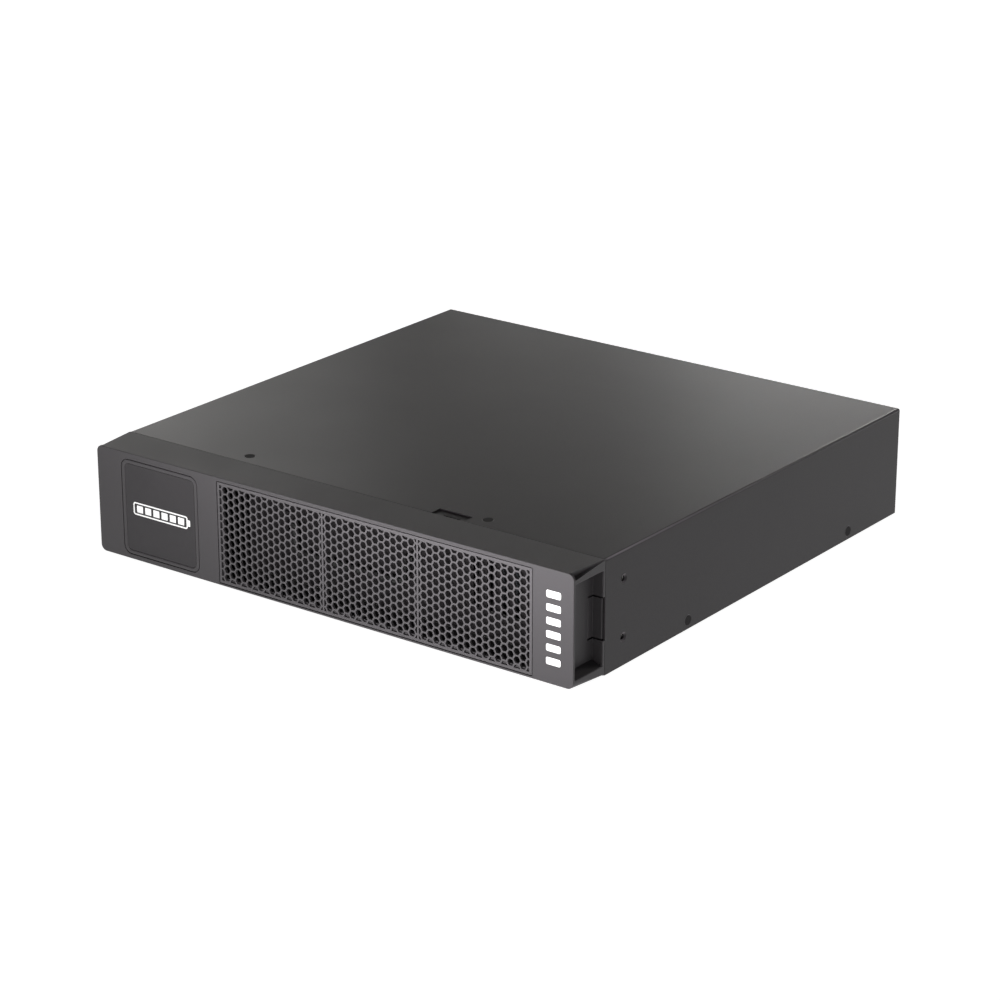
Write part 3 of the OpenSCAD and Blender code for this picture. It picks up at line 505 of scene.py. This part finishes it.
def combine(piece, others, operation):
    """Cuts the others out of a piece, or joins them to it, and removes them."""
    for other in others:
        modifier = piece.modifiers.new("solid", "BOOLEAN")
        modifier.solver = "MANIFOLD"
        modifier.operation = operation
        modifier.object = other
    graph = bpy.context.evaluated_depsgraph_get()
    mesh = bpy.data.meshes.new_from_object(piece.evaluated_get(graph))
    piece.modifiers.clear()
    old = piece.data
    piece.data = mesh
    bpy.data.meshes.remove(old)
    for other in others:
        data = other.data
        bpy.data.objects.remove(other)
        bpy.data.meshes.remove(data)
    return piece


def cut(piece, *others):
    return combine(piece, others, "DIFFERENCE")


def join(piece, *others):
    return combine(piece, others, "UNION")


def place(piece, body, slot, *nodes, sharp=32):
    """Brings a piece into the frame, on its body and in place of its nodes."""
    piece.data.transform(Matrix.Translation((0, SEAM, 0)) @ Matrix.Scale(MM, 4))
    bm = bmesh.new()
    bm.from_mesh(piece.data)
    bmesh.ops.remove_doubles(bm, verts=bm.verts, dist=WELD_DISTANCE)
    bm.to_mesh(piece.data)
    bm.free()
    piece.data.shade_smooth()
    piece.data.set_sharp_from_angle(angle=math.radians(sharp))
    piece.modifiers.new("flats", "WEIGHTED_NORMAL").keep_sharp = True
    piece.data.materials.clear()
    piece.data.materials.append(MATERIALS[slot])
    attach(piece, body)
    if nodes:
        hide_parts(*nodes)


# ---- bezel ----

# Millimetres from the seam. Pairs are the two ends along an axis.
BEZEL_FRONT = corners("bezel_frame")[0].y
BEZEL_REAR = -0.3
FACE_THICK = 3
HALF_WIDTH, _, TOP = corners("bezel_ends")[1]
# How far the end faces lean in at the face
END_LEAN = 0.5
# Height of the underside and the corner radius, at the steel and at the face
UNDERSIDE = (1.1, 1.9)
CORNER_RADIUS = (0.6, 5)
ROOM_Z = (3.3, TOP - 2.2)
POCKET_DEPTH = 9
POCKET_X = HALF_WIDTH - POCKET_DEPTH
POCKET_Y = (-34.3, -2.2)
POCKET_Z = (7.98, 78.32)
# How much each end of the pocket closes in towards its floor
POCKET_DRAFT = 3.4
ROOM_X = POCKET_X - 1.6
TAB_Z = (26.5, 59)
TAB_ROOT_Y = -8
# Depth and size of the notch behind the face, at its two ends
NOTCH = ((BEZEL_FRONT + 2, 4.8), (0, 0.3))
TONGUE_X = (80, 91)
TONGUE_Y = (-6.05, 6)
TONGUE_Z = (81.2, 82.8)
TONGUE_BLOCK_Y = (-6, BEZEL_REAR)
INSERT = corners("grille_insert")
INSERT_GAP = 0.55
LEDGE_THICK = 3
# How much wider and taller the ledge is than the window, and how much its
# opening is smaller than the grille inside its border
LEDGE_PAST = (4, 1.6)
LEDGE_LAP = 2.8
BADGE = corners("badge_frame")
BADGE_AT = ((BADGE[0].x + BADGE[1].x) / 2, (BADGE[0].z + BADGE[1].z) / 2)
BADGE_SIDE = BADGE[1].x - BADGE[0].x
BADGE_RADIUS = 6.5
BADGE_GAP = 0.5
# Distance of the badge's four clips from its middle
CLIP_REACH = 28


def ahead(y):
    """0 at the steel and 1 at the face."""
    return (BEZEL_REAR - y) / (BEZEL_REAR - BEZEL_FRONT)


def between(ends, share):
    return ends[0] + (ends[1] - ends[0]) * share


def bezel_section(y, inset):
    """Outline of the bezel at a depth: its round corners fade out at the steel."""
    half_w = HALF_WIDTH - END_LEAN * ahead(y) - inset
    z0 = between(UNDERSIDE, ahead(y)) + inset
    z1 = TOP - inset
    radius = max(0.1, between(CORNER_RADIUS, ahead(y)) - inset)
    return facing(y, soft_ring(2 * half_w, z1 - z0, radius), (0, (z0 + z1) / 2))


def bezel_skin():
    """The solid outside of the bezel, its edges rounded at the face and at the steel."""
    edge = 0.45
    rear_edge = 0.15
    rings = [bezel_section(BEZEL_REAR + rear_edge * (sine - 1), rear_edge * (1 - cosine))
             for sine, cosine in reversed(quarter(2))]
    rings += [bezel_section(BEZEL_FRONT + edge * (1 - sine), edge * (1 - cosine))
              for sine, cosine in quarter(6)]
    return loft("bezel", rings)


def face_cutter(name, at, w, h, r, depth, lip):
    """Cuts a round-cornered hole into the face and rounds its edge."""
    rings = [facing(BEZEL_FRONT - 1, soft_ring(w + 2 * lip, h + 2 * lip, r + lip), at)]
    for sine, cosine in quarter():
        grow = lip * (1 - sine)
        rings.append(facing(BEZEL_FRONT + lip * (1 - cosine),
                            soft_ring(w + 2 * grow, h + 2 * grow, r + grow), at))
    rings.append(facing(BEZEL_FRONT + depth, soft_ring(w, h, r), at))
    return loft(name, rings)


def pocket_ring(depth, grow, side):
    """Outline of a finger pocket at a depth below the end face."""
    y0, y1 = POCKET_Y
    ring = []
    share = depth / POCKET_DEPTH
    z0 = POCKET_Z[0] + POCKET_DRAFT * share - grow
    z1 = POCKET_Z[1] - POCKET_DRAFT * share + grow
    outline = soft_ring(y1 - y0 + 2 * grow, z1 - z0, 0.7 + max(0, grow))
    for u, v in outline:
        y = (y0 + y1) / 2 + u
        end = HALF_WIDTH - END_LEAN * ahead(y)
        x = end - (end - POCKET_X) * share
        ring.append((side * x, y, (z0 + z1) / 2 + v))
    return ring


def pocket_cutter(side):
    """Cuts a finger pocket with a rounded mouth and floor."""
    lip = 0.5
    fillet = 0.25
    rings = [pocket_ring(-2, lip, side)]
    rings += [pocket_ring(lip * (1 - cosine), lip * (1 - sine), side)
              for sine, cosine in quarter()]
    rings += [pocket_ring(POCKET_DEPTH - fillet * (1 - sine), fillet * (cosine - 1), side)
              for sine, cosine in quarter()]
    return loft("pocket", rings)


def latch_slots(side):
    """The slot behind a pocket, and the one in its floor, that a latch tab fills."""
    x_lo, x_hi = sorted((side * (ROOM_X - 1), side * (HALF_WIDTH + 1)))
    w_lo, w_hi = sorted((side * (ROOM_X - 1), side * (POCKET_X + 0.1)))
    return (slab("slot", (x_lo, x_hi), (POCKET_Y[1] - 0.1, 1), TAB_Z),
            slab("slot", (w_lo, w_hi), (TAB_ROOT_Y, 1), TAB_Z))


def corner_notch(side):
    """Notch behind the face along a top corner, tapering away at the steel."""
    rings = []
    past = 6
    for y, size in NOTCH:
        x, z = HALF_WIDTH - size, TOP - size
        outline = ((x, z), (x + past, z), (x + past, z + past), (x, z + past))
        rings.append([(side * u, y, v) for u, v in outline])
    return loft("notch", rings)


def clip_boxes(name, y, along, across):
    """A box at each of the badge's four clips, given by half its length and width."""
    boxes = []
    for dx, dz in ((1, 0), (-1, 0), (0, 1), (0, -1)):
        half_x, half_z = (across, along) if dz == 0 else (along, across)
        x = BADGE_AT[0] + CLIP_REACH * dx
        z = BADGE_AT[1] + CLIP_REACH * dz
        boxes.append(slab(name, (x - half_x, x + half_x), y, (z - half_z, z + half_z)))
    return boxes


def bezel_room():
    """The hollow behind the face, which takes the tray's front and its handle."""
    h = ROOM_Z[1] - ROOM_Z[0]
    at = (0, (ROOM_Z[0] + ROOM_Z[1]) / 2)
    y = BEZEL_FRONT + FACE_THICK
    chamfer = 0.5
    full = soft_ring(2 * ROOM_X, h, 1.5)
    small = soft_ring(2 * (ROOM_X - chamfer), h - 2 * chamfer, 1)
    return loft("room", [facing(y, small, at), facing(y + chamfer, full, at),
                         facing(1, full, at)])


def make_bezel():
    bezel = bezel_skin()
    insert_w = INSERT[1].x - INSERT[0].x
    insert_h = INSERT[1].z - INSERT[0].z
    insert_at = ((INSERT[0].x + INSERT[1].x) / 2, (INSERT[0].z + INSERT[1].z) / 2)
    window = face_cutter("window", insert_at, insert_w + 2 * INSERT_GAP,
                         insert_h + 2 * INSERT_GAP, r=1, depth=FACE_THICK + 2, lip=0.35)
    recess_side = BADGE_SIDE + 2 * BADGE_GAP
    recess = face_cutter("recess", BADGE_AT, recess_side, recess_side,
                         r=BADGE_RADIUS + BADGE_GAP, depth=1.8, lip=0.3)
    clip_holes = clip_boxes("clip_hole", (BEZEL_FRONT, BEZEL_FRONT + FACE_THICK + 1),
                            along=4.5, across=1.7)
    cut(bezel, bezel_room(), window)
    join(bezel, *grille_ledge(insert_at, insert_w, insert_h), *bezel_tongue())
    cut(bezel, recess, *clip_holes)
    for side in (-1, 1):
        cut(bezel, pocket_cutter(side), corner_notch(side), *latch_slots(side))
    place(bezel, "bezel", "bezel_plastic", "bezel_frame", "bezel_walls", "bezel_ends")


def bezel_tongue():
    """The tongue that reaches under the lid, and the block that it stands on."""
    return (slab("tongue", TONGUE_X, TONGUE_BLOCK_Y, (TONGUE_Z[0], ROOM_Z[1] + 0.1)),
            slab("tongue", TONGUE_X, TONGUE_Y, TONGUE_Z))


def grille_ledge(at, insert_w, insert_h):
    """The ledge behind the grille's border and the ribs behind its bars."""
    y = (INSERT[1].y, INSERT[1].y + LEDGE_THICK)
    outer = soft_ring(insert_w + 2 * INSERT_GAP + LEDGE_PAST[0],
                      insert_h + 2 * INSERT_GAP + LEDGE_PAST[1], 1)
    inner = soft_ring(insert_w - 2 * BORDER - LEDGE_LAP, insert_h - 2 * BORDER - LEDGE_LAP, 0.6)
    ledge = loft("ledge", [facing(y[0], outer, at), facing(y[1], outer, at),
                           facing(y[1], inner, at), facing(y[0], inner, at)], closed=True)
    ribs = [slab("rib", (at[0] + x - BAR_WIDTH / 2, at[0] + x + BAR_WIDTH / 2), (y[0] + 0.01, y[1]),
                 (at[1] - insert_h / 2 + BORDER, at[1] + insert_h / 2 - BORDER))
            for x in (-BAR_COLUMNS * COLUMN_PITCH, BAR_COLUMNS * COLUMN_PITCH)]
    return (ledge, *ribs)


# ---- grille ----

ROW_PITCH = 6.2
COLUMN_PITCH = ROW_PITCH * math.sin(math.radians(60))
CELL_FLATS = 4.8
CELL_ROUND = 0.8
SIDE_COLUMNS = 25
HALF_ROWS = 6
BAR_COLUMNS = 8
BAR_WIDTH = 1.5
BORDER = 2.1


def cell_ring(grow, steps=3):
    """A hexagon with round corners, its flats at the top and bottom."""
    radius = CELL_ROUND + grow
    reach = (CELL_FLATS / 2 + grow - radius) / math.cos(math.radians(30))
    points = []
    for corner in range(6):
        turn = math.radians(60 * corner)
        for i in range(steps + 1):
            a = turn + math.radians(60) * (i / steps - 0.5)
            points.append((reach * math.cos(turn) + radius * math.cos(a),
                           reach * math.sin(turn) + radius * math.sin(a)))
    return points


def cell_cutters(at, y):
    """Every cell of the honeycomb, flared where it meets the front."""
    lip = 0.3
    bm = bmesh.new()
    for column in range(-SIDE_COLUMNS - 1, SIDE_COLUMNS + 2):
        shift = 0.5 * (column % 2)
        for row in range(-HALF_ROWS, HALF_ROWS + 1):
            if abs(row + shift) > HALF_ROWS:
                continue
            middle = (at[0] + column * COLUMN_PITCH, at[1] + (row + shift) * ROW_PITCH)
            rings = [facing(y[0] - 1, cell_ring(lip), middle)]
            rings += [facing(y[0] + lip * (1 - cosine), cell_ring(lip * (1 - sine)), middle)
                      for sine, cosine in quarter(3)]
            rings.append(facing(y[1] + 1, cell_ring(0), middle))
            add_loft(bm, rings)
    return make_piece("cells", bm)


def grille_panels(at, w, h, y):
    """The three openings between the grille's border and its two bars."""
    bar_x = BAR_COLUMNS * COLUMN_PITCH
    edges = (-w / 2 + BORDER, -bar_x - BAR_WIDTH / 2, -bar_x + BAR_WIDTH / 2, bar_x - BAR_WIDTH / 2,
             bar_x + BAR_WIDTH / 2, w / 2 - BORDER)
    bm = bmesh.new()
    for x0, x1 in zip(edges[::2], edges[1::2]):
        ring = soft_ring(x1 - x0, h - 2 * BORDER, 0.3, 3)
        middle = (at[0] + (x0 + x1) / 2, at[1])
        add_loft(bm, [facing(y[0] - 2, ring, middle), facing(y[1] + 2, ring, middle)])
    return make_piece("panels", bm)


def make_grille():
    lo, hi = INSERT
    at = ((lo.x + hi.x) / 2, (lo.z + hi.z) / 2)
    w, h = hi.x - lo.x, hi.z - lo.z
    edge = 0.3
    rings = [facing(lo.y + edge * (1 - sine),
                    soft_ring(w - 2 * edge * (1 - cosine), h - 2 * edge * (1 - cosine), 0.6), at)
             for sine, cosine in reversed(quarter(3))]
    grille = loft("grille", [*rings, facing(hi.y, soft_ring(w, h, 0.6), at)])
    cells = cell_cutters(at, (lo.y, hi.y))
    combine(cells, [grille_panels(at, w, h, (lo.y, hi.y))], "INTERSECT")
    cut(grille, cells)
    place(grille, "bezel", "grille_plastic", "grille_insert")


# ---- badge and printed marks ----

RIM = 3
LABEL_RADIUS = BADGE_RADIUS - RIM + 0.3
LABEL = corners("badge_plate")
INK_THICK = 0.03
# How much wider the rim's opening is, and at what depth, from the front to the label
RIM_FILLET = ((2.2, 0), (1.4, 0.05), (0.7, 0.22), (0.25, 0.4), (0, 0.6))


def badge_ring(y, side, r):
    return facing(y, soft_ring(side, side, r), BADGE_AT)


def make_badge():
    front = BADGE[0].y
    edge = 0.6
    inner = BADGE_SIDE - 2 * RIM
    inner_r = BADGE_RADIUS - RIM + 0.5
    rings = [badge_ring(front + 1.5, BADGE_SIDE, BADGE_RADIUS)]
    rings += [badge_ring(front + edge * (1 - sine), BADGE_SIDE - 2 * edge * (1 - cosine),
                         BADGE_RADIUS - edge * (1 - cosine)) for sine, cosine in quarter()]
    rings += [badge_ring(front + depth, inner + wider, inner_r + wider / 2)
              for wider, depth in RIM_FILLET]
    rings.append(badge_ring(LABEL[1].y, inner, inner_r))
    badge = loft("badge", rings)
    join(badge, *clip_boxes("clip", (front + 1.4, BADGE[1].y), along=3.5, across=0.9))
    place(badge, "badge", "bezel_plastic", "badge_frame")


def make_label():
    """The film in the badge's rim, its edge softened."""
    side = LABEL[1].x - LABEL[0].x
    edge = 0.12
    rings = [badge_ring(LABEL[0].y + edge * (1 - sine), side - 2 * edge * (1 - cosine), LABEL_RADIUS)
             for sine, cosine in reversed(quarter())]
    film = loft("badge_film", [*rings, badge_ring(LABEL[1].y, side, LABEL_RADIUS)])
    place(film, "badge", "badge_label", "badge_plate")


def printed(name, outlines, y, body, node):
    """Ink in the shape of some outlines, a little smaller on top than at its foot."""
    bm = bmesh.new()
    for at, ring in outlines:
        small = [(u * 0.995, v * 0.99) for u, v in ring]
        add_loft(bm, [facing(y + 0.1, ring, at), facing(y - INK_THICK * 0.6, ring, at),
                      facing(y - INK_THICK, small, at)])
    place(make_piece(name, bm), body, "print_white", node)


def make_symbol():
    """A battery: a case with its terminal, and six bars of charge."""
    y = LABEL[0].y
    case = (54, 10)
    line = 1.1
    bars = 6
    bar = (6, 5.4)
    pitch = 8.2
    terminal = (2.4, 5)
    outlines = [((BADGE_AT[0] + (i - (bars - 1) / 2) * pitch, BADGE_AT[1]),
                 soft_ring(*bar, 0.4, 4)) for i in range(bars)]
    outlines.append(((BADGE_AT[0] + (case[0] + terminal[0]) / 2, BADGE_AT[1]),
                     soft_ring(*terminal, 0.6, 4)))
    printed("badge_symbol_print", outlines, y, "badge", "badge_symbol")
    outer = soft_ring(*case, 2)
    inner = soft_ring(case[0] - 2 * line, case[1] - 2 * line, 1)
    rim = loft("badge_case_print", [facing(y + 0.1, outer, BADGE_AT),
                                    facing(y - INK_THICK, outer, BADGE_AT),
                                    facing(y - INK_THICK, inner, BADGE_AT),
                                    facing(y + 0.1, inner, BADGE_AT)], closed=True)
    place(rim, "badge", "print_white")


def make_mark():
    """A plain column of bars on the right of the face."""
    lo, hi = corners("bar_mark")
    bars = 6
    w, h = hi.x - lo.x, 5.2
    pitch = (hi.z - lo.z - h) / (bars - 1)
    outlines = [(((lo.x + hi.x) / 2, lo.z + h / 2 + i * pitch), soft_ring(w, h, 1.2, 6))
                for i in range(bars)]
    printed("bar_print", outlines, lo.y, "bezel", "bar_mark")


make_bezel()
make_grille()
make_badge()
make_label()
make_symbol()
make_mark()


# ---- CAD nodes that keep their own shape ----

def dress(node, slot, edge):
    """Gives a CAD node its material and softens its edges by edge millimetres."""
    piece = frame["nodes"][node]
    piece.data.materials.clear()
    piece.data.materials.append(MATERIALS[slot])
    weld = piece.modifiers.new("weld", "WELD")
    weld.merge_threshold = WELD_DISTANCE
    flat = piece.modifiers.new("flat", "DECIMATE")
    flat.decimate_type = "DISSOLVE"
    flat.angle_limit = math.radians(0.6)
    bevel = piece.modifiers.new("bevel", "BEVEL")
    bevel.width = edge * MM
    bevel.segments = 2
    bevel.limit_method = "ANGLE"
    bevel.angle_limit = math.radians(35)
    bevel.harden_normals = True


# Edge radii in millimetres
BLOCK_EDGE = 0.8
PLAIN_EDGE = 0.15
EDGES = {"top_cover": 0.2, "tray_pan": 0.2, "tray_front": 0.2, "latch_left": 0.3,
         "latch_right": 0.3, "breaker_body": 0.4, "dc_socket_left": 0.4,
         "dc_socket_right": 0.4, "signal_jack": 0.3}
REPLACED = {"bezel_frame", "bezel_walls", "bezel_ends", "grille_insert", "badge_frame",
            "badge_plate", "badge_symbol", "bar_mark"}

for part in frame["record"]["subparts"]:
    name = part["node"]
    if name not in REPLACED:
        block = name.startswith("battery_") and name[-1].isdigit()
        dress(name, part["material_slot"], BLOCK_EDGE if block else EDGES.get(name, PLAIN_EDGE))
